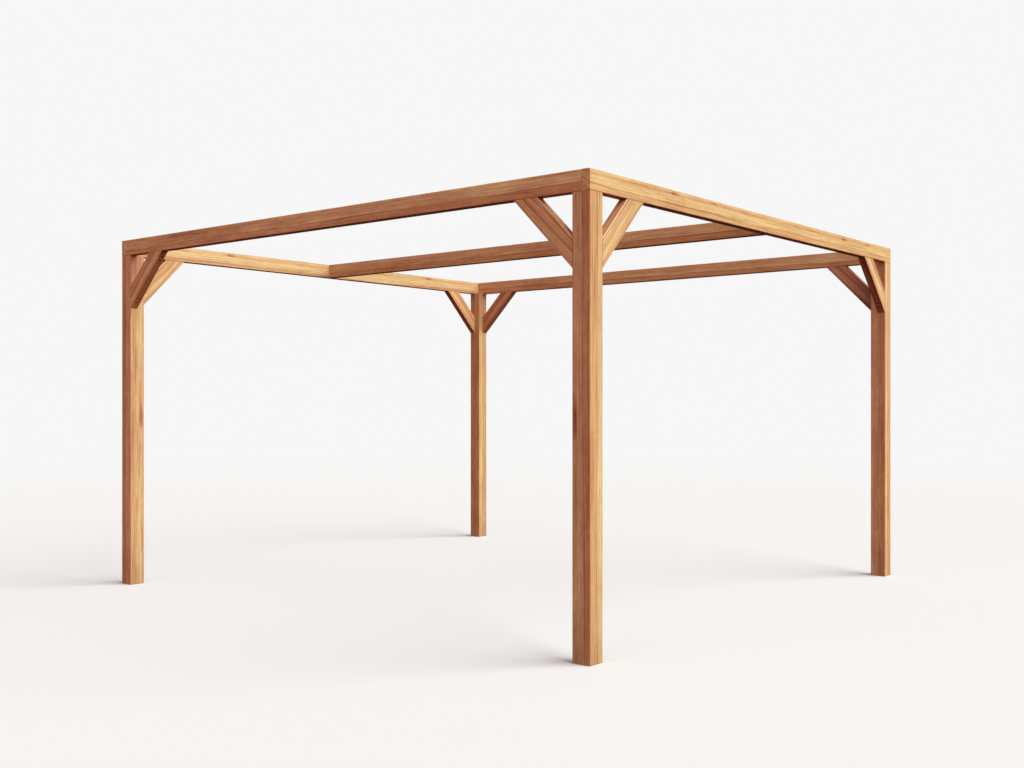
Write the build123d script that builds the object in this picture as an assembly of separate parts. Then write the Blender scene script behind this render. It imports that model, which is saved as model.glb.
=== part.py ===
from build123d import *
import os

# Wooden pergola: an open frame of square planed timber. Four posts stand on the ground and
# carry a level ring of beams, with one more beam across the middle. A pair of knee braces
# stiffens every post, one in each side of the frame.
# Units are millimetres. X runs along the front beam, Y from front to rear and Z up, and the
# origin is on the ground at the centre of the plan.

# Frame sizes: the plan over the outer faces, and the height under the beams
overall_width = 3750
overall_depth = 3550
clear_height = 2140

# Timber sections
post_side = 100
beam_width = 100
beam_height = 100
brace_width = 100
brace_thickness = 50

# Knee braces stand at 45 degrees. The reach is from the inner corner of post and beam to a toe.
brace_reach = 345

# Corner joint: the side beams run the full depth, and each end is rebated to an outer cheek.
# The square end of the front or rear beam seats behind the cheek, against the shoulder.
corner_cheek = 50
corner_gap = 0.3

# Middle joint: each end of the middle beam is a tongue, dropped into a pocket in the inner
# face of a side beam, and it bears on the ledge left under the pocket.
pocket_depth = 50
ledge_height = 40
pocket_gap = 0.3

# Screws hold the frame together, with their heads sunk in flat-bottomed seats where they show
# least: in the tops of the beams, a pair in each half of a corner and in each tongue, and in
# the sloping undersides of the braces, a pair at each end.
seat_diameter = 16
seat_depth = 6
beam_screw_pitch = 50
brace_screw_pitch = 30
brace_screw_inset = 50

# Planed timber has its long edges rounded, and the edges of its sawn ends are broken.
edge_radius = 4
end_chamfer = 1.5

# How far the cuts of a joint run out of the timber on their open sides
cut_overrun = 10

half_width = overall_width / 2
half_depth = overall_depth / 2
beam_middle_height = clear_height + beam_height / 2


def screw_seats(places):
    """Cutters for screw seats, each sunk below the XY plane of its place."""
    seat = Cylinder(
        seat_diameter / 2,
        seat_depth + cut_overrun,
        align=(Align.CENTER, Align.CENTER, Align.MIN),
    )
    return [place * Pos(0, 0, -seat_depth) * seat for place in places]


def planed_timber(length, width, height):
    """Timber along X, centred on the origin, with rounded long edges and broken ends."""
    timber = Box(length, width, height)
    timber = fillet(timber.edges().filter_by(Axis.X), edge_radius)
    sawn_ends = timber.faces().filter_by(Axis.X)
    return chamfer(sawn_ends.edges(), end_chamfer)


def post(side_x, side_y):
    """Upright whose outer faces are flush with the two beams that meet on its top."""
    upright = Rot(0, 90, 0) * planed_timber(clear_height, post_side, post_side)
    centre_x = side_x * (half_width - post_side / 2)
    centre_y = side_y * (half_depth - post_side / 2)
    return Pos(centre_x, centre_y, clear_height / 2) * upright


def end_beam(side_y):
    """Front or rear beam, square at both ends, seated between the cheeks of the side beams."""
    length = overall_width - 2 * (corner_cheek + corner_gap)
    beam = planed_timber(length, beam_width, beam_height)
    over_posts = GridLocations(overall_width - corner_cheek - post_side, beam_screw_pitch, 2, 2)
    beam -= screw_seats(Pos(0, 0, beam_height / 2) * place for place in over_posts)
    return Pos(0, side_y * (half_depth - beam_width / 2), beam_middle_height) * beam


def side_beam(side_x):
    """Left or right beam, rebated at both ends and pocketed at the middle of its inner face."""
    # Worked on along X with the inner face towards +Y, then turned into place
    beam = planed_timber(overall_depth, beam_width, beam_height)
    inner_face = beam_width / 2
    rebate = Pos(half_depth - beam_width, corner_cheek - inner_face, 0) * Box(
        beam_width + cut_overrun,
        beam_width - corner_cheek + cut_overrun,
        beam_height + 2 * cut_overrun,
        align=(Align.MIN, Align.MIN, Align.CENTER),
    )
    pocket = Pos(0, inner_face - pocket_depth, ledge_height - beam_height / 2) * Box(
        beam_width + 2 * pocket_gap,
        pocket_depth + cut_overrun,
        beam_height - ledge_height + cut_overrun,
        align=(Align.CENTER, Align.MIN, Align.MIN),
    )
    beam = beam - rebate - mirror(rebate, about=Plane.YZ) - pocket
    cheek_line = corner_cheek / 2 - inner_face
    for end in (-1, 1):
        over_post = Pos(end * (half_depth - post_side / 2), cheek_line, beam_height / 2)
        pair = GridLocations(beam_screw_pitch, 0, 2, 1)
        beam -= screw_seats(over_post * place for place in pair)
    centre_x = side_x * (half_width - beam_width / 2)
    return Pos(centre_x, 0, beam_middle_height) * Rot(0, 0, side_x * 90) * beam


def middle_beam():
    """Beam across the middle, notched under both ends to leave the tongues."""
    shoulder = half_width - beam_width
    beam = planed_timber(2 * (shoulder + pocket_depth - pocket_gap), beam_width, beam_height)
    notch = Pos(shoulder, 0, ledge_height - beam_height / 2) * Box(
        pocket_depth + cut_overrun,
        beam_width + 2 * cut_overrun,
        ledge_height + cut_overrun,
        align=(Align.MIN, Align.CENTER, Align.MAX),
    )
    beam = beam - notch - mirror(notch, about=Plane.YZ)
    over_ledges = GridLocations(2 * shoulder + pocket_depth, beam_screw_pitch, 2, 2)
    beam -= screw_seats(Pos(0, 0, beam_height / 2) * place for place in over_ledges)
    return Pos(0, 0, beam_middle_height) * beam


def knee_brace(foot):
    """Brace mitred to a post and a beam, from the plane of its outer face inwards.

    The plane has its origin at the inner corner of post and beam, its x along the beam and
    its y up the post.
    """
    upper_reach = brace_reach - brace_width * 2**0.5
    outline = Polyline(
        (0, -brace_reach),
        (brace_reach, 0),
        (upper_reach, 0),
        (0, -upper_reach),
        close=True,
    )
    brace = extrude(make_face(outline), brace_thickness)
    sloping_edges = brace.edges().filter_by(Axis((0, 0, 0), (1, 1, 0)))
    brace = fillet(sloping_edges, edge_radius)
    underside = Plane(
        origin=(brace_reach / 2, -brace_reach / 2, brace_thickness / 2),
        x_dir=(1, 1, 0),
        z_dir=(1, -1, 0),
    )
    middle_to_pair = brace_reach / 2**0.5 - brace_screw_inset - brace_screw_pitch / 2
    for end in (-1, 1):
        pair = Pos(end * middle_to_pair, 0, 0) * GridLocations(brace_screw_pitch, 0, 2, 1)
        brace -= screw_seats(underside.location * place for place in pair)
    return foot.location * brace


def end_brace(side_x, side_y):
    """Brace between a post and the front or rear beam, flush with the outer face of both."""
    foot = Plane(
        origin=(half_width - post_side, half_depth - brace_thickness, clear_height),
        x_dir=(-1, 0, 0),
        z_dir=(0, 1, 0),
    )
    return to_corner(knee_brace(foot), side_x, side_y)


def side_brace(side_x, side_y):
    """Brace between a post and the left or right beam, flush with the outer face of both."""
    foot = Plane(
        origin=(half_width, half_depth - post_side, clear_height),
        x_dir=(0, -1, 0),
        z_dir=(-1, 0, 0),
    )
    return to_corner(knee_brace(foot), side_x, side_y)


def to_corner(piece, side_x, side_y):
    """Piece made at the rear right corner, mirrored to the corner that it belongs to."""
    if side_x < 0:
        piece = mirror(piece, about=Plane.YZ)
    if side_y < 0:
        piece = mirror(piece, about=Plane.XZ)
    return piece


pieces = {"middle_beam": middle_beam()}
sides = {"left": -1, "right": 1}
ends = {"front": -1, "rear": 1}
for side, side_x in sides.items():
    pieces[f"{side}_beam"] = side_beam(side_x)
for end, side_y in ends.items():
    pieces[f"{end}_beam"] = end_beam(side_y)
for side, side_x in sides.items():
    for end, side_y in ends.items():
        pieces[f"{end}_{side}_post"] = post(side_x, side_y)
        pieces[f"{end}_beam_{side}_brace"] = end_brace(side_x, side_y)
        pieces[f"{side}_beam_{end}_brace"] = side_brace(side_x, side_y)

os.makedirs("parts", exist_ok=True)
for node, piece in pieces.items():
    export_step(piece, f"parts/{node}.step")
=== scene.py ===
import bmesh
import bpy
from math import atan2, pi, radians
from mathutils import Euler, Matrix, Vector


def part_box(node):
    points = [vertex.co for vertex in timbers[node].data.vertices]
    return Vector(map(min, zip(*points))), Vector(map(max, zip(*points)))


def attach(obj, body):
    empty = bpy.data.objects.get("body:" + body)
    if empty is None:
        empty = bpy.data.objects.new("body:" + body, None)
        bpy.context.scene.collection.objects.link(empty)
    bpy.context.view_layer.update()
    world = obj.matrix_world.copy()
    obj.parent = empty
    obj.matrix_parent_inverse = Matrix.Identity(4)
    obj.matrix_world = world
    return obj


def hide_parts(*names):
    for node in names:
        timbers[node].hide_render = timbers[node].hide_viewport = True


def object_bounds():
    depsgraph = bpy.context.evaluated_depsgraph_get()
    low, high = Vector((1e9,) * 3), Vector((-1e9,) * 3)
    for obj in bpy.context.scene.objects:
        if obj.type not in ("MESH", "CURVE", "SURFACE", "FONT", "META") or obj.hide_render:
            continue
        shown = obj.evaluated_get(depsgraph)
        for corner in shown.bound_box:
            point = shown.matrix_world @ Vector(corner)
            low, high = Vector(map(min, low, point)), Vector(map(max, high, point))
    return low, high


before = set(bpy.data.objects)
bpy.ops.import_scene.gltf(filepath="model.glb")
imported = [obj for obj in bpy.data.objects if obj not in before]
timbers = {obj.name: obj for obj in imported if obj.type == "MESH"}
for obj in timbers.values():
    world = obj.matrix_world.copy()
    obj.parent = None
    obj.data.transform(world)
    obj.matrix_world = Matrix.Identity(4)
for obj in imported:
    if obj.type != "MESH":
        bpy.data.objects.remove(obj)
cad_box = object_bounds()

# Posts: four uprights of planed softwood, 100 mm square, cut square at both ends. They stand
# straight on the ground and carry the ring of beams. Nothing is painted, so each timber shows
# its own growth rings, its redder heartwood and its paler sapwood.


class Value:
    """A number or a vector inside a node tree. Numbers can be reckoned with like plain ones."""

    def __init__(self, socket):
        self.socket = socket

    def __add__(self, other):
        return maths("ADD", self, other)

    def __radd__(self, other):
        return maths("ADD", other, self)

    def __sub__(self, other):
        return maths("SUBTRACT", self, other)

    def __rsub__(self, other):
        return maths("SUBTRACT", other, self)

    def __mul__(self, other):
        return maths("MULTIPLY", self, other)

    def __rmul__(self, other):
        return maths("MULTIPLY", other, self)

    def __truediv__(self, other):
        return maths("DIVIDE", self, other)

    def __pow__(self, other):
        return maths("POWER", self, other)

    def __abs__(self):
        return maths("ABSOLUTE", self)


def join(value, socket):
    """Feeds a socket from a value of its tree, or writes a plain value into it."""
    if isinstance(value, Value):
        socket.id_data.links.new(value.socket, socket)
    else:
        socket.default_value = value


def node_for(values, kind):
    """A new node in the tree that the values belong to."""
    tree = next(value.socket.id_data for value in values if isinstance(value, Value))
    return tree.nodes.new(kind)


def maths(operation, *values):
    node = node_for(values, "ShaderNodeMath")
    node.operation = operation
    for value, socket in zip(values, node.inputs):
        join(value, socket)
    return Value(node.outputs[0])


def point(x, y, z):
    node = node_for((x, y, z), "ShaderNodeCombineXYZ")
    for value, socket in zip((x, y, z), node.inputs):
        join(value, socket)
    return Value(node.outputs[0])


def parts_of(vector):
    node = node_for((vector,), "ShaderNodeSeparateXYZ")
    join(vector, node.inputs[0])
    return tuple(Value(output) for output in node.outputs)


def rise(value, low, high, start=0.0, end=1.0):
    """Goes smoothly from start to end as the value goes from low to high."""
    node = node_for((value,), "ShaderNodeMapRange")
    node.interpolation_type = "SMOOTHSTEP"
    for number, socket in zip((value, low, high, start, end), node.inputs):
        join(number, socket)
    return Value(node.outputs[0])


def fall(value, low, high):
    """Goes smoothly from 1 to 0 as the value goes from low to high."""
    return rise(value, low, high, 1.0, 0.0)


def hump(*offsets):
    """1 where every offset is nought, and less and less on all sides."""
    total = 0.0
    for offset in offsets:
        total = total - offset * offset
    return maths("EXPONENT", total)


def agreement(first, second):
    """How far two directions agree: 1 for the same one, 0 for one square to the other."""
    first_x, first_y, first_z = parts_of(first)
    second_x, second_y, second_z = parts_of(second)
    return first_x * second_x + first_y * second_y + first_z * second_z


def noise(place, detail=2.0):
    """Smooth noise about zero, one wave per unit of its place."""
    node = node_for((place,), "ShaderNodeTexNoise")
    node.inputs["Scale"].default_value = 1.0
    node.inputs["Detail"].default_value = detail
    join(place, node.inputs["Vector"])
    return Value(node.outputs[0]) - 0.5


def chance(number):
    """A fixed random share for each whole number."""
    node = node_for((number,), "ShaderNodeTexWhiteNoise")
    node.noise_dimensions = "1D"
    join(number, node.inputs["W"])
    return Value(node.outputs[0])


def mixed(share, first, second, way="MIX"):
    node = node_for((share, first, second), "ShaderNodeMix")
    node.data_type = "RGBA"
    node.blend_type = way
    join(share, node.inputs[0])
    join(first, node.inputs[6])
    join(second, node.inputs[7])
    return Value(node.outputs[2])


def tinted(share, colour, tint):
    """Multiplies a colour by a tint's three shares, as far as the first share says."""
    return mixed(share, colour, (*tint, 1.0), "MULTIPLY")


# Colours of wood, and tints: the shares of red, green and blue that each one leaves
EARLY_WOOD = (0.865, 0.645, 0.312, 1.0)
LATE_WOOD = (0.65, 0.390, 0.160, 1.0)
KNOT_WOOD = (0.40, 0.15, 0.07, 1.0)
KNOT_RIM = (0.20, 0.07, 0.04, 1.0)
DRYING_CHECK = (0.13, 0.055, 0.03, 1.0)
END_CHECK = (0.12, 0.05, 0.03, 1.0)
# The pale edge colour is a painted highlight, partly also the paler planed wood
EDGE_HIGHLIGHT = (0.95, 0.70, 0.43, 1.0)
HEARTWOOD = (0.90, 0.77, 0.76)
HEART_RIM = (0.86, 0.78, 0.80)
HEART_LINE = (0.82, 0.66, 0.64)
RED_BAND = (0.86, 0.74, 0.70)
RED_STREAK = (0.72, 0.60, 0.58)
PALE_STREAK = (1.06, 1.08, 1.06)
BROAD_STREAK = (0.95, 0.91, 0.89)
KNOT_FLARE = (0.68, 0.28, 0.24)
RED_THREAD = (0.76, 0.62, 0.58)
PALE_THREAD = (1.03, 1.06, 1.06)
PITCH = (0.64, 0.42, 0.42)
SAWN_END = (1.06, 1.08, 1.04)
# The next five tints are painted shade: on the rounded edges, in a line inboard of them, on the sides
# turned from the sun, on what faces down and in the screw seats
EDGE = (0.92, 0.84, 0.82)
EDGE_SHADE_LINE = (0.72, 0.60, 0.58)
PAINTED_SIDE_SHADE = (0.965, 0.85, 0.90)
UNDERSIDE_SHADE = (0.82, 0.44, 0.39)
SEAT_SHADE = (0.45, 0.32, 0.28)

KNOTS = ("First knot", "Second knot", "Third knot", "Fourth knot")
STAIN_REACH_ALONG = 0.095
STAIN_REACH_ACROSS = 0.018


def round_the_pith(given, x, y, z):
    """How far a point lies from the pith, and its bearing round it.

    The pith leans as the log tapers, and wanders a few millimetres along the timber. The
    bearing is measured from the side that the timber lies on, so its seam falls outside.
    """
    number = given["Tree"]
    _, pith_y, pith_z = parts_of(given["Pith"])
    _, lean_y, lean_z = parts_of(given["Lean"])
    wander_y = noise(point(x * 0.7, number, 3.0), 1.0) * 0.018
    wander_z = noise(point(x * 0.7, number, 9.0), 1.0) * 0.018
    across = y - pith_y - x * lean_y + wander_y
    up = z - pith_z - x * lean_z + wander_z
    radius = (across * across + up * up) ** 0.5
    bearing = maths("ARCTAN2", across * pith_z - up * pith_y, 0.0 - across * pith_y - up * pith_z)
    return radius, bearing


def knots_of(given, x, radius, bearing):
    """Knots: small branches that run out from the pith.

    The rings flow round them, and a long thin flare stains the wood red, mostly on one side of
    a knot and a little on the other. Gives how far the rings are pushed aside, and the shares
    of a knot's own wood, its rim and its flare.
    """
    flow, in_knot, rim, flare = 0.0, 0.0, 0.0, 0.0
    for name in KNOTS:
        knot_x, knot_bearing, knot_radius = parts_of(given[name])
        aside_x = x - knot_x
        aside_round = (bearing - knot_bearing) * radius
        size = maths("MAXIMUM", knot_radius, 0.0001)
        spread = (aside_x * aside_x * 0.4 + aside_round * aside_round) ** 0.5 / size
        flow = flow + size * maths("EXPONENT", spread * spread * -0.20)
        in_knot = in_knot + fall(spread, 0.80, 1.10)
        rim = rim + rise(spread, 0.6, 0.95) * fall(spread, 1.0, 1.5)
        beside = aside_round / (size * 0.95)
        beyond = (aside_x - size * 6.0) / (size * 8.0)
        before = (aside_x + size * 8.0) / (size * 7.0)
        flare = flare + hump(beside, beyond) + hump(beside * 3.0**0.5, before) * 0.4
    return flow, in_knot, rim, flare


def softwood():
    """Wood that is solid through a timber. Its place runs along, across and up the timber."""
    tree = bpy.data.node_groups.new("solid softwood", "ShaderNodeTree")
    for name in ("Place", "Facing", "Sunny side", "Down", "Pith", "Lean", "Half section", "Red band",
                 "Stain", "Tint", "Foot", "Head", *KNOTS):
        tree.interface.new_socket(name, in_out="INPUT", socket_type="NodeSocketVector")
    for name in ("Heart radius", "Heart depth", "Ring width", "Redness", "Arris", "Fading", "Tree"):
        tree.interface.new_socket(name, in_out="INPUT", socket_type="NodeSocketFloat")
    tree.interface.new_socket("Colour", in_out="OUTPUT", socket_type="NodeSocketColor")
    tree.interface.new_socket("Roughness", in_out="OUTPUT", socket_type="NodeSocketFloat")
    tree.interface.new_socket("Relief", in_out="OUTPUT", socket_type="NodeSocketFloat")
    given = {socket.name: Value(socket) for socket in tree.nodes.new("NodeGroupInput").outputs}
    made = tree.nodes.new("NodeGroupOutput").inputs
    number = given["Tree"]
    x, y, z = parts_of(given["Place"])

    # How far a side turns to the sunny side, from 0 to 1, how far it lies below the surface, as in a
    # screw's seat, and how far it faces down: the painted light and shade further on follow these
    facing = given["Facing"]
    half_x, half_y, half_z = parts_of(given["Half section"])
    below = maths("MINIMUM", half_x - abs(x), maths("MINIMUM", half_y - abs(y), half_z - abs(z)))
    sunk = rise(below, 0.0014, 0.0024)
    in_sun = rise(agreement(facing, given["Sunny side"]), 0.2, 0.8) * (1.0 - sunk)
    facing_down = rise(agreement(facing, given["Down"]), 0.30, 0.70)

    # Sawn ends face along the timber
    end = rise(abs(parts_of(facing)[0]), 0.80, 0.92)

    radius, bearing = round_the_pith(given, x, y, z)
    flow, in_knot, rim, flare = knots_of(given, x, radius, bearing)

    # Growth rings: uneven in width, waved by the grain, bent round the knots
    wave = noise(point(x * 1.3, y * 14.0, z * 14.0 + number), 2.0)
    fine_wave = noise(point(x * 9.0, y * 90.0, z * 90.0 + number), 2.0)
    bent = radius + wave * 0.005 + fine_wave * 0.0012 - flow * 1.2
    years = bent / given["Ring width"] + noise(point(bent * 45.0, number, 0.0), 1.0) * 5.0
    year = maths("FLOOR", years)
    season = years - year
    strength = chance(number * 31.0 + year)
    ring_tone = chance(number * 17.0 + year + 0.37)
    late = rise(season, 0.30, 0.93) * fall(season, 0.94, 1.0) * (strength * 0.75 + 0.25)

    # Heartwood turns to sapwood at a certain ring, darkest just before it does
    drift = noise(point(x * 1.1, y * 5.0, z * 5.0 + number), 2.0)
    past_heart = bent + drift * 0.018 - given["Heart radius"]
    sap = rise(past_heart, -0.0015, 0.0015)
    own_depth = given["Heart depth"]
    # Heartwood shows deeper on the sides turned from the sun and paler on those turned to it: painted
    # shade and light
    heart_depth = rise(in_sun, 0.0, 1.0, 1.20, 0.85) * (1.0 - end * 0.5) * own_depth
    heart_rim = rise(past_heart, -0.011, -0.001) * fall(past_heart, -0.001, 0.002)
    heart_line = rise(past_heart, -0.0055, -0.0030) * fall(past_heart, -0.0015, 0.0005)
    line_spell = rise(noise(point(x * 1.3, number, 40.0), 1.0), -0.20, 0.10, 0.3, 1.0)
    colour = mixed(late, EARLY_WOOD, LATE_WOOD)
    colour = tinted((1.0 - sap) * heart_depth, colour, HEARTWOOD)
    colour = tinted(heart_rim * own_depth * 0.55, colour, HEART_RIM)
    colour = tinted(heart_line * line_spell * heart_depth * 0.8, colour, HEART_LINE)

    # A red band of rings, and soft streaks that run with the grain
    band_radius, band_width, band_strength = parts_of(given["Red band"])
    off_band = (bent + drift * 0.006 - band_radius) / band_width
    band_spell = rise(noise(point(x * 1.6, number, bent * 60.0), 2.0), -0.16, 0.06, 0.55, 1.0)
    in_band = fall(abs(off_band), 0.3, 1.1) * band_strength * band_spell * (1.0 + end)
    colour = tinted(in_band, colour, RED_BAND)
    streak = noise(point(x * 2.0, bent / given["Ring width"] * 0.33, bearing * 4.0 + number), 3.0)
    colour = tinted(rise(streak, 0.02, 0.20) * given["Redness"], colour, RED_STREAK)
    colour = tinted(fall(streak, -0.20, -0.04) * 0.6, colour, PALE_STREAK)
    broad = noise(point(bent * 30.0, x * 0.4, number + 5.0), 1.0)
    colour = tinted(fall(broad, -0.12, 0.12), colour, BROAD_STREAK)
    colour = tinted(maths("MINIMUM", flare, 1.0), colour, KNOT_FLARE)

    # Fibres: long fine threads, short dark resin ducts among them, and a faint cross mottle
    fibre = noise(point(x * 6.0, y * 420.0, z * 420.0), 3.0)
    thread = noise(point(x * 2.5, y * 120.0, z * 120.0 + number), 3.0)
    duct = rise(noise(point(x * 28.0, y * 1400.0, z * 1400.0), 0.0), 0.20, 0.28)
    cloud = noise(point(x * 4.0, y * 18.0, z * 18.0 + number), 3.0)
    mottle = noise(point(x * 20.0, y * 55.0, z * 55.0 + number), 3.0)
    shade = 1.0 + fibre * 0.60 + mottle * 0.34 + cloud * 0.50 + drift * 0.20
    shade = shade + x * given["Fading"] * sap
    shade = shade * (ring_tone * 0.08 + 0.96) * (1.0 - duct * 0.22)
    colour = tinted(rise(thread, 0.0, 0.22), colour, RED_THREAD)
    colour = tinted(fall(thread, -0.22, -0.06), colour, PALE_THREAD)

    # A pitch stain: a long, thin, dark red streak
    stain_x, stain_y, stain_z = parts_of(given["Stain"])
    stain = hump((x - stain_x) / STAIN_REACH_ALONG, (y - stain_y) / STAIN_REACH_ACROSS,
                 (z - stain_z) / STAIN_REACH_ACROSS)
    colour = tinted(rise(stain + thread * 1.5, 0.15, 0.95), colour, PITCH)

    # The knots' own wood is dark and dense, darkest at its rim
    colour = mixed(in_knot * 0.7, colour, KNOT_WOOD)
    colour = mixed(rim * 0.45, colour, KNOT_RIM)

    # Drying checks: hair cracks that follow the grain and point at the pith
    crack_line = noise(point(x * 0.9, bearing * 9.0, number + 11.0), 1.0)
    crack_spell = noise(point(x * 1.7, bearing * 2.0, number + 23.0), 1.0)
    crack = fall(abs(crack_line), 0.0, 0.004) * rise(crack_spell, 0.13, 0.18)
    colour = mixed(crack * 0.6, colour, DRYING_CHECK)

    # Sawn ends are a little paler and rougher, with fine checks that open from the pith
    ray = noise(point(bearing * 38.0, bent * 9.0, number), 2.0)
    end_crack = end * fall(abs(ray), 0.0, 0.008)
    colour = tinted(end, colour, SAWN_END)
    colour = mixed(end_crack * 0.35, colour, END_CHECK)

    # The rounded long edges take a little painted shade, then a painted highlight, partly the paler
    # planed wood, as strong as the timber's arris share says, and a painted shade line just inboard
    inboard = maths("MAXIMUM", half_y - abs(y), half_z - abs(z)) + fibre * 0.003
    arris = fall(inboard, 0.0035, 0.0060) * (1.0 - end)
    edge_shade_line = rise(inboard, 0.0055, 0.0070) * fall(inboard, 0.0080, 0.0110) * (1.0 - end)
    colour = tinted(arris, colour, EDGE)
    colour = mixed(arris * given["Arris"], colour, EDGE_HIGHLIGHT)
    colour = tinted(edge_shade_line * given["Arris"] * 2.0, colour, EDGE_SHADE_LINE)

    # A timber may change towards its ends: a post's foot is a little darker, a brace's dark foot is
    # painted shade, and a given head's sides turned to the sun take a redder, darker painted shade
    foot = fall(x + half_x + cloud * 0.2, 0.02, 0.36)
    head = fall(half_x - x, 0.0, 0.40) * in_sun
    colour = mixed(foot, colour, given["Foot"], "MULTIPLY")
    colour = mixed(head, colour, given["Head"], "MULTIPLY")

    # Painted shade: the sides turned away from the sun get a redder, darker tint than those turned
    # to it, and what faces down gets a deep red-brown painted shade
    colour = tinted(1.0 - in_sun, colour, PAINTED_SIDE_SHADE)
    colour = tinted(facing_down, colour, UNDERSIDE_SHADE)
    # Painted shade darkens the inside of each screw seat
    colour = tinted(sunk, colour, SEAT_SHADE)

    # Darker wood is redder wood too: a shade takes more from green and blue than from red
    # Sides turned from the sun also get stronger grain contrast, to go with their painted shade
    shade = shade ** rise(in_sun, 0.0, 1.0, 1.6, 1.0)
    red, green, blue = parts_of(given["Tint"])
    shades = point(shade ** 0.55 * red, shade * green, shade ** 1.12 * blue)
    join(mixed(1.0, colour, shades, "MULTIPLY"), made["Colour"])

    # Late wood is denser and a little glossier, and the sawn ends are dull
    join(0.70 - late * 0.08 + fibre * 0.10 - arris * 0.06 + end * 0.2, made["Roughness"])

    # Relief in millimetres
    join(late * 0.08 + fibre * 0.12 + thread * 0.10 + in_knot * 0.12 - duct * 0.05 - crack * 0.6
         - end_crack * 0.4, made["Relief"])
    return tree


solid_wood = softwood()
SUNNY_SIDE = Vector((0.82, 0.18, 0.54))
FAR_OFF = (-50.0, 0.0, 0.0)
UNTINTED = (1.0, 1.0, 1.0)
USUAL_WOOD = {"Heart depth": 1.0, "Ring width": 0.0026, "Red band": (1.0, 0.01, 0.0), "Redness": 0.65,
              "Arris": 0.04, "Tint": UNTINTED, "Foot": UNTINTED, "Head": UNTINTED, "Fading": 0.0}


def give_wood(piece, centre, turn, half_section, pith, lean=(0.0, 0.0, 0.0), sunny_side=SUNNY_SIDE,
              stain=None, knots=(), **own_wood):
    """Gives one timber its own wood.

    The turn is how a timber along X is turned to lie where it does. The pith, measured from the
    timber's centre, and its lean per metre are given in the frame's own directions. A pitch
    stain is given by its middle in the frame, and a knot by a point of the frame where it comes
    to the surface, and its radius. The rest are inputs of the softwood: the radius of the heart
    and its depth of colour, the radius, half width and strength of a red band, how this
    timber's colour differs from the common one, and how its foot and head differ from that.
    """
    finish = bpy.data.materials.new(f"softwood {piece.name.replace('_', ' ')}")
    finish.use_nodes = True
    tree = finish.node_tree
    tree.nodes.clear()
    surface = tree.nodes.new("ShaderNodeBsdfPrincipled")
    surface.inputs["IOR"].default_value = 1.46
    surface.inputs["Specular IOR Level"].default_value = 0.01
    output = tree.nodes.new("ShaderNodeOutputMaterial")
    tree.links.new(surface.outputs[0], output.inputs["Surface"])
    spots = tree.nodes.new("ShaderNodeTexCoord")
    wood = tree.nodes.new("ShaderNodeGroup")
    wood.node_tree = solid_wood
    for source, goal, middle in (("Object", "Place", centre), ("Normal", "Facing", (0.0, 0.0, 0.0))):
        laid = tree.nodes.new("ShaderNodeMapping")
        laid.vector_type = "TEXTURE"
        laid.inputs["Location"].default_value = middle
        laid.inputs["Rotation"].default_value = turn
        tree.links.new(spots.outputs[source], laid.inputs["Vector"])
        tree.links.new(laid.outputs[0], wood.inputs[goal])
    back = turn.to_matrix().inverted()
    pith = back @ Vector(pith)
    lean = back @ Vector(lean)
    wood.inputs["Sunny side"].default_value = back @ sunny_side
    wood.inputs["Down"].default_value = back @ Vector((0.0, 0.0, -1.0))
    wood.inputs["Pith"].default_value = pith
    wood.inputs["Lean"].default_value = lean
    wood.inputs["Half section"].default_value = half_section
    wood.inputs["Stain"].default_value = back @ (Vector(stain) - centre) if stain else FAR_OFF
    named = {name.replace("_", " ").capitalize(): value for name, value in own_wood.items()}
    for name, value in {**USUAL_WOOD, **named}.items():
        wood.inputs[name].default_value = value
    for knot in KNOTS:
        wood.inputs[knot].default_value = FAR_OFF
    for knot, (surface_point, knot_radius) in zip(KNOTS, knots):
        spot = back @ (Vector(surface_point) - centre)
        out = spot - pith - lean * spot.x
        knot_bearing = atan2(out.y * pith.z - out.z * pith.y, -out.y * pith.y - out.z * pith.z)
        wood.inputs[knot].default_value = (spot.x, knot_bearing, knot_radius)
    tree.links.new(wood.outputs["Colour"], surface.inputs["Base Color"])
    tree.links.new(wood.outputs["Roughness"], surface.inputs["Roughness"])
    bump = tree.nodes.new("ShaderNodeBump")
    bump.inputs["Strength"].default_value = 1.0
    bump.inputs["Distance"].default_value = 0.001
    tree.links.new(wood.outputs["Relief"], bump.inputs["Height"])
    tree.links.new(bump.outputs[0], surface.inputs["Normal"])
    piece.material_slots[0].material = finish


UPRIGHT = Euler((0.0, -pi / 2, 0.0))
# A post's foot is a little darker towards the ground
DARKER_FOOT = (0.86, 0.86, 0.85)
# The heads of the left posts take this as painted shade, darker and redder where the boards above shade
# them
SHADED_HEAD = (0.86, 0.70, 0.84)


def post_wood(name, **own_wood):
    """Wood that stands upright, with a darker foot."""
    low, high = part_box(name)
    side = high.x - low.x
    half = ((high.z - low.z) / 2, side / 2, side / 2)
    give_wood(timbers[name], (low + high) / 2, UPRIGHT, half, foot=DARKER_FOOT, **own_wood)


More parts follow.
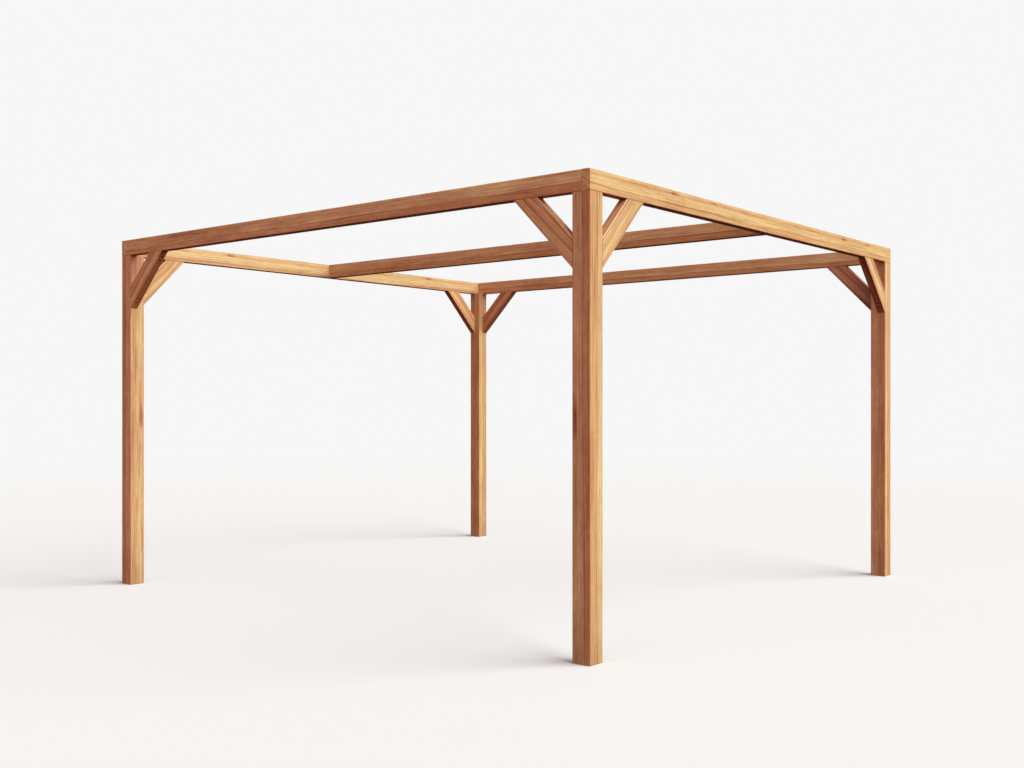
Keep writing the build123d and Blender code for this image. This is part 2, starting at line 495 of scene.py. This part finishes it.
post_wood("front_right_post", tree=1.0, pith=(0.075, -0.054, 0.0), lean=(-0.006, 0.0, 0.0),
          heart_radius=0.067, red_band=(0.045, 0.030, 0.25), redness=0.8, tint=(0.99, 0.97, 0.98),
          stain=(1.789, -1.775, 1.105))
post_wood("front_left_post", tree=2.0, pith=(-0.060, -0.090, 0.0), heart_radius=0.067,
          red_band=(0.127, 0.012, 1.0), tint=(1.02, 0.93, 0.99), head=SHADED_HEAD,
          stain=(-1.775, -1.699, 1.080))
post_wood("rear_right_post", tree=3.0, pith=(0.080, 0.060, 0.0), heart_radius=0.078,
          red_band=(0.124, 0.018, 1.3), redness=0.45, tint=(1.04, 0.99, 1.03))
post_wood("rear_left_post", tree=4.0, pith=(0.080, 0.070, 0.0), heart_radius=0.080,
          red_band=(0.147, 0.036, 1.2), redness=0.5, tint=(1.0, 0.97, 1.0), head=SHADED_HEAD)

# Front, rear and middle beams: planed boards, 100 mm high and half as thick, set on edge. The
# front and rear ones are screwed down on the outer halves of the posts, and all three end
# against the side boards. Each takes the place of a plain beam of the frame.

BOARD_THICKNESS = 0.050
EDGE_RADIUS = 0.004
EDGE_STEPS = 6
END_CHAMFER = 0.0015
JOINT_GAP = 0.0003
SEAT_WIDTH = 0.016
SEAT_DEPTH = 0.006
SEAT_SIDES = 40
ACROSS = Euler((0.0, 0.0, 0.0))
UP = (0.0, 0.0, 1.0)
frame_low, frame_high = (Vector(corner) for corner in cad_box)
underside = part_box("front_beam")[0].z
screw_places = []


def planed_box(low, high):
    """A box with rounded long edges, and broken edges round its sawn ends."""
    size = high - low
    along = 0 if size.x > size.y else 1
    shape = bmesh.new()
    bmesh.ops.create_cube(shape, size=1.0)
    for vertex in shape.verts:
        spot = [share * length for share, length in zip(vertex.co, size)]
        vertex.co = (low + high) / 2 + Vector(spot)
    long_edges = [edge for edge in shape.edges
                  if abs((edge.verts[0].co - edge.verts[1].co)[along]) > size[along] / 2]
    bmesh.ops.bevel(shape, geom=long_edges, offset=EDGE_RADIUS, segments=EDGE_STEPS,
                    profile=0.5, affect="EDGES")
    shape.normal_update()
    rims = [edge for edge in shape.edges
            if any(abs(face.normal[along]) > 0.999 for face in edge.link_faces)]
    bmesh.ops.bevel(shape, geom=rims, offset=END_CHAMFER, segments=1, affect="EDGES")
    return shape


def as_object(name, shape):
    """An object made of a finished shape, whose place is in its mesh."""
    data = bpy.data.meshes.new(name)
    shape.to_mesh(data)
    shape.free()
    made = bpy.data.objects.new(name, data)
    bpy.context.scene.collection.objects.link(made)
    return made


def place_screw(x, y, z, axis):
    """Notes a screw whose head rests at the bottom of a seat that opens at the point given."""
    axis = Vector(axis).normalized()
    screw_places.append((Vector((x, y, z)) - axis * SEAT_DEPTH, axis))


def cut_seats(piece, top, spots):
    """Cuts a flat-bottomed seat into a board's top at each spot."""
    cutters = bmesh.new()
    for x, y in spots:
        bmesh.ops.create_cone(cutters, cap_ends=True, segments=SEAT_SIDES,
                              radius1=SEAT_WIDTH / 2, radius2=SEAT_WIDTH / 2, depth=SEAT_DEPTH * 2,
                              matrix=Matrix.Translation((x, y, top)))
    cutter = as_object("seats", cutters)
    sink = piece.modifiers.new("seats", "BOOLEAN")
    sink.operation = "DIFFERENCE"
    sink.solver = "EXACT"
    sink.object = cutter
    evaluated = piece.evaluated_get(bpy.context.evaluated_depsgraph_get())
    finished = bpy.data.meshes.new_from_object(evaluated)
    piece.modifiers.clear()
    piece.data = finished
    bpy.data.objects.remove(cutter)


def board(name, low, high, turn, screw_spots, **own_wood):
    """A board from corner to corner, with its wood, and screws down through its top."""
    piece = as_object(f"{name}_board", planed_box(low, high))
    if screw_spots:
        cut_seats(piece, high.z, screw_spots)
    for x, y in screw_spots:
        place_screw(x, y, high.z, UP)
    piece.data.materials.clear()
    piece.data.materials.append(None)
    half = turn.to_matrix().inverted() @ (high - low) / 2
    give_wood(piece, (low + high) / 2, turn, [abs(length) for length in half], **own_wood)
    node = f"{name}_beam"
    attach(piece, "root")
    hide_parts(node)


half_run = frame_high.x - BOARD_THICKNESS - JOINT_GAP
post_middle_x = frame_high.x - BOARD_THICKNESS * 1.5


def cross_board(name, middle_y, screws_x, **own_wood):
    """A board along X, between the side boards."""
    low = Vector((-half_run, middle_y - BOARD_THICKNESS / 2, underside))
    high = Vector((half_run, middle_y + BOARD_THICKNESS / 2, frame_high.z))
    board(name, low, high, ACROSS, [(x, middle_y) for x in screws_x],
          pith=(0.0, -0.045, -0.090), tint=(1.05, 1.05, 1.05), **own_wood)


over_posts = (-post_middle_x, post_middle_x)
cross_board("front", frame_low.y + BOARD_THICKNESS / 2, over_posts, tree=5.0,
            heart_radius=0.080, lean=(0.0, 0.0, 0.003), fading=0.065)
cross_board("rear", frame_high.y - BOARD_THICKNESS / 2, over_posts, tree=6.0,
            heart_radius=0.082, lean=(0.0, 0.0, -0.003), fading=0.055)
cross_board("middle", 0.0, (), tree=7.0,
            heart_radius=0.080, lean=(0.0, 0.0, 0.002), fading=0.055)

# Side beams: the left and right boards run the full depth along the outer halves of the posts,
# and their sawn ends show beside the front and rear boards. Two screws hold each to a post.

FRONT, REAR = -1, 1
ALONG = Euler((0.0, 0.0, pi / 2))
SCREW_PAIR = 0.025
post_y = frame_high.y - BOARD_THICKNESS
screws_y = [side_y * post_y + step for side_y in (FRONT, REAR) for step in (-SCREW_PAIR, SCREW_PAIR)]
right_face = frame_high.x
left_face = frame_low.x + BOARD_THICKNESS


def side_board(name, middle_x, **own_wood):
    """A board along Y, over the frame's full depth."""
    low = Vector((middle_x - BOARD_THICKNESS / 2, frame_low.y, underside))
    high = Vector((middle_x + BOARD_THICKNESS / 2, frame_high.y, frame_high.z))
    board(name, low, high, ALONG, [(middle_x, y) for y in screws_y], pith=(-0.045, 0.0, -0.070),
          **own_wood)


side_board("right", right_face - BOARD_THICKNESS / 2, tree=8.0, heart_radius=0.089,
           red_band=(0.119, 0.009, 0.7), redness=0.5,
           knots=[((right_face, -1.072, 2.220), 0.0045), ((right_face, 0.976, 2.219), 0.0045),
                  ((right_face, -0.664, 2.220), 0.0026), ((right_face, 1.360, 2.221), 0.0026)])
side_board("left", left_face - BOARD_THICKNESS / 2, tree=9.0, heart_radius=0.081,
           lean=(0.0, 0.0, -0.002), red_band=(0.119, 0.009, 0.6), redness=0.35,
           tint=(1.02, 1.01, 1.08),
           knots=[((left_face, -0.962, 2.222), 0.0042), ((left_face, 1.063, 2.222), 0.0042)])

# Knee braces: boards 100 mm wide and 50 mm thick, mitred at both ends to fit at 45 degrees
# between a post and a beam, flush with the outer faces of both. Two screws at each end come up
# through the sloping underside.

LEFT, RIGHT = -1, 1
BRACE_WIDTH = 0.100
SLOPE = pi / 4
SLOPED_SHARE = 0.5**0.5
FROM_TOE = (0.050, 0.080)
# Braces in the front and rear sides get no sunny side, so every face of theirs takes the painted side
# shade
NO_SUNNY_SIDE = Vector((0.0, 0.0, 0.0))


def brace(name, side_x, side_y, along_y, **own_wood):
    """A brace along X in the frame's front or rear side, or along Y in its left or right side."""
    low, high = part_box(name)
    middle = (low + high) / 2
    reach = high.z - low.z
    shift = (reach - BRACE_WIDTH * SLOPED_SHARE) / 2
    middle.z = high.z - shift
    if along_y:
        at_post = high.y if side_y == REAR else low.y
        middle.y = at_post - side_y * shift
        turn = Euler((0.0, -SLOPE, -side_y * pi / 2))
        thickness = high.x - low.x
        wood = dict(pith=(-0.05, 0.0, 0.03), heart_radius=0.078, heart_depth=0.6)
    else:
        at_post = high.x if side_x == RIGHT else low.x
        middle.x = at_post - side_x * shift
        turn = Euler((0.0, -SLOPE if side_x == LEFT else SLOPE - pi, 0.0))
        thickness = high.y - low.y
        wood = dict(pith=(0.0, -0.09, 0.04), heart_radius=0.0725, sunny_side=NO_SUNNY_SIDE)
    half = (reach * SLOPED_SHARE, thickness / 2, BRACE_WIDTH / 2)
    give_wood(timbers[name], middle, turn, half, red_band=(0.0945, 0.007, 1.0), arris=0.60,
              ring_width=0.0019, **wood, **own_wood)
    for from_toe in FROM_TOE:
        step = from_toe * SLOPED_SHARE
        for z, inward in ((high.z - step, reach - step), (low.z + step, step)):
            if along_y:
                place_screw(middle.x, at_post - side_y * inward, z, (0.0, -side_y, -1.0))
            else:
                place_screw(at_post - side_x * inward, middle.y, z, (-side_x, 0.0, -1.0))


# Each brace's tint sets how bright it shows in its place, so it holds painted light and shade besides its
# own tone: the two in the rear side are darker, the two in the front side paler
brace("front_beam_left_brace", LEFT, FRONT, False, tree=10.0, tint=(1.08, 1.08, 1.08))
brace("left_beam_front_brace", LEFT, FRONT, True, tree=11.0, tint=(1.04, 1.03, 1.07))
brace("rear_beam_left_brace", LEFT, REAR, False, tree=12.0, tint=(0.88, 0.76, 0.82))
brace("left_beam_rear_brace", LEFT, REAR, True, tree=13.0, tint=(1.13, 0.98, 1.00))
brace("front_beam_right_brace", RIGHT, FRONT, False, tree=14.0, tint=(1.12, 1.18, 1.18))
brace("right_beam_front_brace", RIGHT, FRONT, True, tree=15.0, tint=(1.03, 1.03, 1.06))
# The rear right brace is darker towards its lower end: painted shade near the post
brace("rear_beam_right_brace", RIGHT, REAR, False, tree=16.0, tint=(0.88, 0.78, 0.88),
      foot=(0.43, 0.43, 0.55))
brace("right_beam_rear_brace", RIGHT, REAR, True, tree=17.0, tint=(0.98, 0.97, 1.00))

# Screws: steel with a brown weatherproof coating, a wide flat rim under the head and a plain
# six-lobed recess. They hold boards and braces to the posts, each turned home in its own
# flat-bottomed seat in the timber, and come to rest at any angle.

HEAD_WIDTH = 0.014
HEAD_SIDES = 36
RIM_SHARE = 0.09
RECESS_SHARE = 0.11
SPIN_SEED = 7
CRISP_ANGLE = radians(32.0)
COAT = (0.11, 0.042, 0.020, 1.0)
PALE_COAT = (0.16, 0.062, 0.030, 1.0)

seats = bpy.data.meshes.new("screws")
seats.from_pydata([place for place, _ in screw_places], [], [])
axes = seats.attributes.new("axis", "FLOAT_VECTOR", "POINT")
for number, (_, axis) in enumerate(screw_places):
    axes.data[number].vector = axis
screws = bpy.data.objects.new("screws", seats)
bpy.context.scene.collection.objects.link(screws)

coated = bpy.data.materials.new("brown coated steel")
coated.use_nodes = True
tree = coated.node_tree
tree.nodes.clear()
surface = tree.nodes.new("ShaderNodeBsdfPrincipled")
surface.inputs["Specular IOR Level"].default_value = 0.03
output = tree.nodes.new("ShaderNodeOutputMaterial")
tree.links.new(surface.outputs[0], output.inputs["Surface"])
x, y, z = parts_of(Value(tree.nodes.new("ShaderNodeTexCoord").outputs["Object"]))
bloom = noise(point(x * 900.0, y * 900.0, z * 900.0), 3.0)
scuff = noise(point(x * 260.0, y * 260.0, z * 2600.0), 2.0)
join(mixed(rise(bloom, -0.12, 0.12), COAT, PALE_COAT), surface.inputs["Base Color"])
join(bloom * 0.25 + scuff * 0.15 + 0.50, surface.inputs["Roughness"])


def screw_heads():
    """A screw head on each point, square to its axis attribute and spun at random."""
    tree = bpy.data.node_groups.new("screw heads", "GeometryNodeTree")
    tree.interface.new_socket("Geometry", in_out="INPUT", socket_type="NodeSocketGeometry")
    for name, kind in (("Head width", "Float"), ("Seed", "Int"), ("Steel", "Material")):
        tree.interface.new_socket(name, in_out="INPUT", socket_type=f"NodeSocket{kind}")
    tree.interface.new_socket("Geometry", in_out="OUTPUT", socket_type="NodeSocketGeometry")
    given = {socket.name: Value(socket) for socket in tree.nodes.new("NodeGroupInput").outputs}
    made = tree.nodes.new("NodeGroupOutput")

    def step(kind, inputs, **settings):
        node = tree.nodes.new(kind)
        for name, setting in settings.items():
            setattr(node, name, setting)
        for name, value in inputs.items():
            join(value, node.inputs[name])
        return node

    # The rim under the head is a short cylinder
    width = given["Head width"]
    rim = step("GeometryNodeMeshCylinder",
               {"Vertices": HEAD_SIDES, "Radius": width * 0.5, "Depth": width * RIM_SHARE})
    shape = Value(rim.outputs["Mesh"])
    top = Value(rim.outputs["Top"])

    def grow(shape, top, height, scale):
        """Raises the top face by a share of the head's width, and scales it."""
        raised = step("GeometryNodeExtrudeMesh",
                      {"Mesh": shape, "Selection": top, "Offset Scale": width * height,
                       "Individual": False})
        top = Value(raised.outputs["Top"])
        scaled = step("GeometryNodeScaleElements",
                      {"Geometry": Value(raised.outputs["Mesh"]), "Selection": top, "Scale": scale})
        return Value(scaled.outputs["Geometry"]), top

    # From the rim's broken edge up the head's rounded side to the edge of the recess
    for height, scale in ((0.02, 0.94), (0.0, 0.72), (0.075, 0.97), (0.03, 0.93), (0.012, 0.88),
                          (0.0, 0.74)):
        shape, top = grow(shape, top, height, scale)

    # The recess has six lobes: its edge swells and narrows six times round
    across, along, _ = parts_of(Value(tree.nodes.new("GeometryNodeInputPosition").outputs[0]))
    lobe = maths("COSINE", maths("ARCTAN2", along, across) * 6.0) * 0.13
    lobed = step("GeometryNodeSetPosition",
                 {"Geometry": shape, "Selection": top, "Offset": point(across * lobe, along * lobe, 0.0)})
    shape, top = grow(Value(lobed.outputs["Geometry"]), top, -RECESS_SHARE, 0.94)

    # Edges stay crisp where two faces meet at a clear angle
    smooth = step("GeometryNodeSetShadeSmooth", {"Geometry": shape})
    angle = Value(tree.nodes.new("GeometryNodeInputMeshEdgeAngle").outputs["Unsigned Angle"])
    sharp = step("ShaderNodeMath", {0: angle, 1: CRISP_ANGLE}, operation="GREATER_THAN")
    crisp = step("GeometryNodeSetShadeSmooth",
                 {"Geometry": Value(smooth.outputs[0]), "Selection": Value(sharp.outputs[0]),
                  "Shade Smooth": False}, domain="EDGE")
    lifted = step("GeometryNodeTransform",
                  {"Geometry": Value(crisp.outputs[0]),
                   "Translation": point(0.0, 0.0, width * (RIM_SHARE / 2))})

    # One head for each seat
    axis = step("GeometryNodeInputNamedAttribute", {"Name": "axis"}, data_type="FLOAT_VECTOR")
    spin = step("FunctionNodeRandomValue", {"Seed": given["Seed"], 3: 2 * pi}, data_type="FLOAT")
    turned = step("FunctionNodeAxisAngleToRotation", {"Angle": Value(spin.outputs[1]), "Axis": UP})
    upright = step("FunctionNodeAlignRotationToVector",
                   {"Rotation": Value(turned.outputs[0]), "Vector": Value(axis.outputs["Attribute"])},
                   axis="Z")
    heads = step("GeometryNodeInstanceOnPoints",
                 {"Points": given["Geometry"], "Instance": Value(lifted.outputs[0]),
                  "Rotation": Value(upright.outputs[0])})
    real = step("GeometryNodeRealizeInstances", {"Geometry": Value(heads.outputs[0])})
    steel = step("GeometryNodeSetMaterial",
                 {"Geometry": Value(real.outputs[0]), "Material": given["Steel"]})
    join(Value(steel.outputs[0]), made.inputs["Geometry"])
    return tree


modifier = screws.modifiers.new("screw heads", "NODES")
modifier.node_group = screw_heads()
settings = {"Head width": HEAD_WIDTH, "Seed": SPIN_SEED, "Steel": coated}
for socket in modifier.node_group.interface.items_tree:
    if socket.name in settings:
        modifier[socket.identifier] = settings[socket.name]
evaluated = screws.evaluated_get(bpy.context.evaluated_depsgraph_get())
finished = bpy.data.meshes.new_from_object(evaluated)
screws.modifiers.clear()
screws.data = finished
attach(screws, "root")

# Studio: a plain pale floor that keeps the frame's shadow and runs out to white. It sends
# little light back up, so the undersides of the timbers stay dark. Two broad lamps and a faint
# warm sky light the frame, most from the right.

FLOOR_SIDE = 120.0
FADE_FROM, FADE_TO = 5.0, 20.0
WHITE = (0.93, 0.93, 0.93, 1.0)
PALE_FLOOR = (0.87, 0.955, 0.965, 1.0)
DARK_FLOOR = (0.022, 0.014, 0.008, 1.0)
SKY = (1.0, 0.76, 0.75, 1.0)
floor_data = bpy.data.meshes.new("floor")
half_floor = FLOOR_SIDE / 2
corners = [(-half_floor, -half_floor, 0.0), (half_floor, -half_floor, 0.0),
           (half_floor, half_floor, 0.0), (-half_floor, half_floor, 0.0)]
floor_data.from_pydata(corners, [], [(0, 1, 2, 3)])
floor = bpy.data.objects.new("floor", floor_data)
bpy.context.scene.collection.objects.link(floor)


def seen(tree):
    """1 for what the camera sees, straight or in a gloss or glass, and 0 for the light cast."""
    path = tree.nodes.new("ShaderNodeLightPath").outputs
    either = maths("MAXIMUM", Value(path["Is Camera Ray"]), Value(path["Is Glossy Ray"]))
    return maths("MAXIMUM", either, Value(path["Is Transmission Ray"]))


def blend(share, first, second):
    node = node_for((share,), "ShaderNodeMixShader")
    join(share, node.inputs[0])
    join(first, node.inputs[1])
    join(second, node.inputs[2])
    return Value(node.outputs[0])


ground = bpy.data.materials.new("studio floor")
ground.use_nodes = True
tree = ground.node_tree
tree.nodes.clear()
pale = tree.nodes.new("ShaderNodeBsdfDiffuse")
pale.inputs["Color"].default_value = PALE_FLOOR
dark = tree.nodes.new("ShaderNodeBsdfDiffuse")
dark.inputs["Color"].default_value = DARK_FLOOR
far = tree.nodes.new("ShaderNodeEmission")
far.inputs["Color"].default_value = WHITE
floor_x, floor_y, _ = parts_of(Value(tree.nodes.new("ShaderNodeTexCoord").outputs["Object"]))
fade = rise((floor_x * floor_x + floor_y * floor_y) ** 0.5, FADE_FROM, FADE_TO)
near_or_far = blend(fade, Value(pale.outputs[0]), Value(far.outputs[0]))
output = tree.nodes.new("ShaderNodeOutputMaterial")
join(blend(seen(tree), Value(dark.outputs[0]), near_or_far), output.inputs["Surface"])
floor_data.materials.append(ground)

world = bpy.data.worlds.new("studio")
bpy.context.scene.world = world
world.use_nodes = True
tree = world.node_tree
tree.nodes.clear()
backdrop = tree.nodes.new("ShaderNodeBackground")
backdrop.inputs["Color"].default_value = WHITE
dome = tree.nodes.new("ShaderNodeBackground")
dome.inputs["Color"].default_value = SKY
dome.inputs["Strength"].default_value = 0.37
output = tree.nodes.new("ShaderNodeOutputWorld")
join(blend(seen(tree), Value(dome.outputs[0]), Value(backdrop.outputs[0])), output.inputs["Surface"])


def sun(name, energy, spread, colour, towards):
    """A broad soft lamp, far off in the direction given."""
    data = bpy.data.lights.new(name, "SUN")
    data.energy = energy
    data.angle = radians(spread)
    data.color = colour
    lamp = bpy.data.objects.new(name, data)
    bpy.context.scene.collection.objects.link(lamp)
    lamp.rotation_euler = Vector(towards).to_track_quat("Z", "Y").to_euler()


sun("key", 3.4, 70.0, (1.0, 0.99, 0.95), (0.77, 0.22, 0.60))
sun("fill", 0.95, 60.0, (1.0, 0.58, 0.60), (0.05, -1.0, 0.12))

# Camera: at chest height before the front right post, held level, with its lens raised a
# little.

camera_data = bpy.data.cameras.new("camera")
camera_data.sensor_width = 36.0
camera_data.lens = 40.64
camera_data.shift_y = 0.0174
camera_data.clip_end = 200.0
camera = bpy.data.objects.new("camera", camera_data)
camera.location = (4.889, -6.011, 1.188)
camera.rotation_euler = (radians(90.0), 0.0, radians(39.296))
bpy.context.scene.collection.objects.link(camera)
bpy.context.scene.camera = camera
bpy.context.scene.view_settings.view_transform = "Standard"
